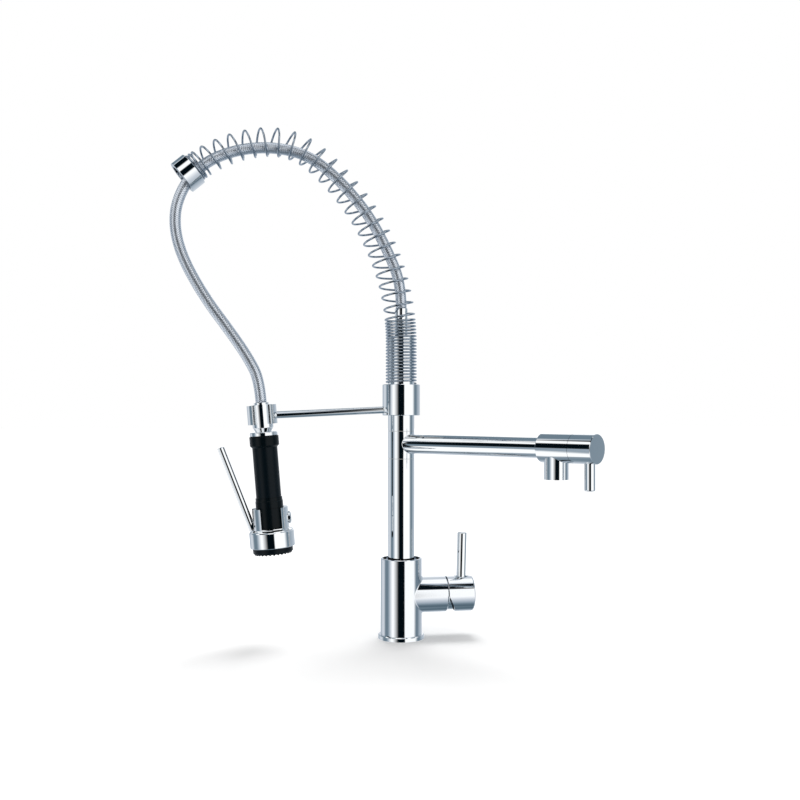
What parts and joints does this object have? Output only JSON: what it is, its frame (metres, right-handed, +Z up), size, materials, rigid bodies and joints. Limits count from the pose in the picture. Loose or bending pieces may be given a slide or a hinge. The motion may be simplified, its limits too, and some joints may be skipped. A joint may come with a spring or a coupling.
{
  "type": "kitchen faucet",
  "caption": "Kitchen mixer with a side lever, a swivelling spout with its own shut-off valve, and a trigger spray handset on a hose carried by a coil-spring arch.",
  "frame": {"origin": "centre of the base where it stands on the deck", "axes": "+Z up the column, +X towards the mixer lever, -X towards the spray handset"},
  "size_m": [0.4025, 0.218, 0.5381],
  "materials": {
    "chrome": "polished chrome plate on brass",
    "brushed_steel": "drawn stainless steel wire and screws",
    "brass": "turned brass",
    "ceramic": "lapped ceramic",
    "white_plastic": "moulded acetal",
    "black_plastic": "moulded, satin",
    "grip_rubber": "moulded soft rubber, satin",
    "nozzle_plate": "moulded",
    "seal_rubber": "moulded seal",
    "braided_hose": "clear plastic over a fine silver braid"
  },
  "bodies": {
    "root": {"base_flange": "chrome", "deck_seal": "seal_rubber", "base_body": "chrome", "cartridge_housing": "white_plastic", "fixed_ceramic_disc": "ceramic", "cartridge_nut": "brass", "lower_column": "chrome", "swivel_core": "brass", "swivel_o_rings": "seal_rubber", "slip_washers": "white_plastic", "upper_column": "chrome", "hose_nut": "brass", "hose_seat": "brass"},
    "mixer_carrier": {"cartridge_carrier": "white_plastic", "stem_pivot_pin": "brushed_steel", "temperature_collar": "chrome"},
    "mixer_disc": {"sliding_ceramic_disc": "ceramic"},
    "mixer_handle": {"cartridge_stem": "brass", "mixer_knob": "chrome", "mixer_lever": "chrome", "knob_grub_screw": "brushed_steel"},
    "spout": {"spout_arm": "chrome", "outlet_valve_body": "chrome", "headwork_body": "brass", "fixed_valve_disc": "ceramic", "aerator_housing": "chrome", "aerator_insert": "white_plastic"},
    "spout_knob": {"headwork_spindle": "brass", "turning_valve_disc": "ceramic", "valve_knob": "chrome", "valve_pin": "chrome", "valve_knob_screw": "brushed_steel"},
    "spray_arm": {"upper_collar": "chrome", "collar_bush": "white_plastic", "collar_grub_screw": "brushed_steel", "support_bar": "chrome", "holder_clip": "chrome", "spring": "brushed_steel", "spring_end_cap": "chrome", "hose_lower_ferrule": "chrome", "hose_in_spring": "braided_hose", "hose_free": "braided_hose"},
    "handset_slider": {"hose_end_collar": "chrome", "swivel_ferrule": "chrome"},
    "handset": {"neck_flange": "chrome", "neck_o_ring": "seal_rubber", "grip_cap_ring": "black_plastic", "grip_core": "black_plastic", "grip_sleeve": "grip_rubber", "grip_lower_ring": "black_plastic", "valve_block": "black_plastic", "head_housing": "chrome", "valve_cap": "chrome", "valve_spring": "brushed_steel", "trigger_pivot_pin": "brushed_steel", "spray_bell": "chrome", "spray_plate": "nozzle_plate", "spray_face": "grip_rubber"},
    "trigger": {"trigger_lever": "chrome"},
    "plunger": {"valve_plunger": "brass"}
  },
  "joints": [
    {"name": "mixer_temperature", "type": "hinge", "parent": "root", "child": "mixer_carrier", "pos_m": [0, 0, 0.0455], "axis": [1, 0, 0], "range_deg": [-45, 45]},
    {"name": "mixer_flow", "type": "hinge", "parent": "mixer_carrier", "child": "mixer_handle", "pos_m": [0.033, 0, 0.0455], "axis": [0, 1, 0], "range_deg": [0, 16]},
    {"name": "mixer_disc_slide", "type": "slide", "parent": "mixer_carrier", "child": "mixer_disc", "axis": [0, 0, 1], "range_m": [0, 0.0016]},
    {"name": "spout_swing", "type": "hinge", "parent": "root", "child": "spout", "pos_m": [0, 0, 0.207], "axis": [0, 0, 1], "range_deg": [-60, 60]},
    {"name": "spout_valve_turn", "type": "hinge", "parent": "spout", "child": "spout_knob", "pos_m": [0, 0, 0.207], "axis": [0.6293, -0.7771, 0], "range_deg": [0, 90]},
    {"name": "spray_swing", "type": "hinge", "parent": "root", "child": "spray_arm", "pos_m": [0, 0, 0.243], "axis": [0, 0, 1], "range_deg": [-45, 45]},
    {"name": "handset_pull", "type": "slide", "parent": "spray_arm", "child": "handset_slider", "axis": [0.0802, 0, -0.9968], "range_m": [0, 0.024], "stiffness_N_per_m": 200, "springref_m": -0.04, "deforming": ["hose_free"]},
    {"name": "handset_turn", "type": "hinge", "parent": "handset_slider", "child": "handset", "pos_m": [-0.1473, 0, 0.23722], "axis": [-0.0802, 0, 0.9968], "range_deg": [-120, 120]},
    {"name": "spray_trigger", "type": "hinge", "parent": "handset", "child": "trigger", "pos_m": [-0.15434, 0, 0.12269], "axis": [0, 1, 0], "range_deg": [0, 13], "stiffness_Nm_per_rad": 0.5, "springref_deg": -17.19},
    {"name": "spray_plunger", "type": "slide", "parent": "handset", "child": "plunger", "axis": [0.9968, 0, 0.0802], "range_m": [0, 0.0014], "deforming": ["valve_spring"]}
  ],
  "couplings": [
    {"joint": "mixer_disc_slide", "follows": "mixer_flow", "m_per_rad": 0.005528},
    {"joint": "spray_plunger", "follows": "spray_trigger", "m_per_rad": 0.006}
  ]
}
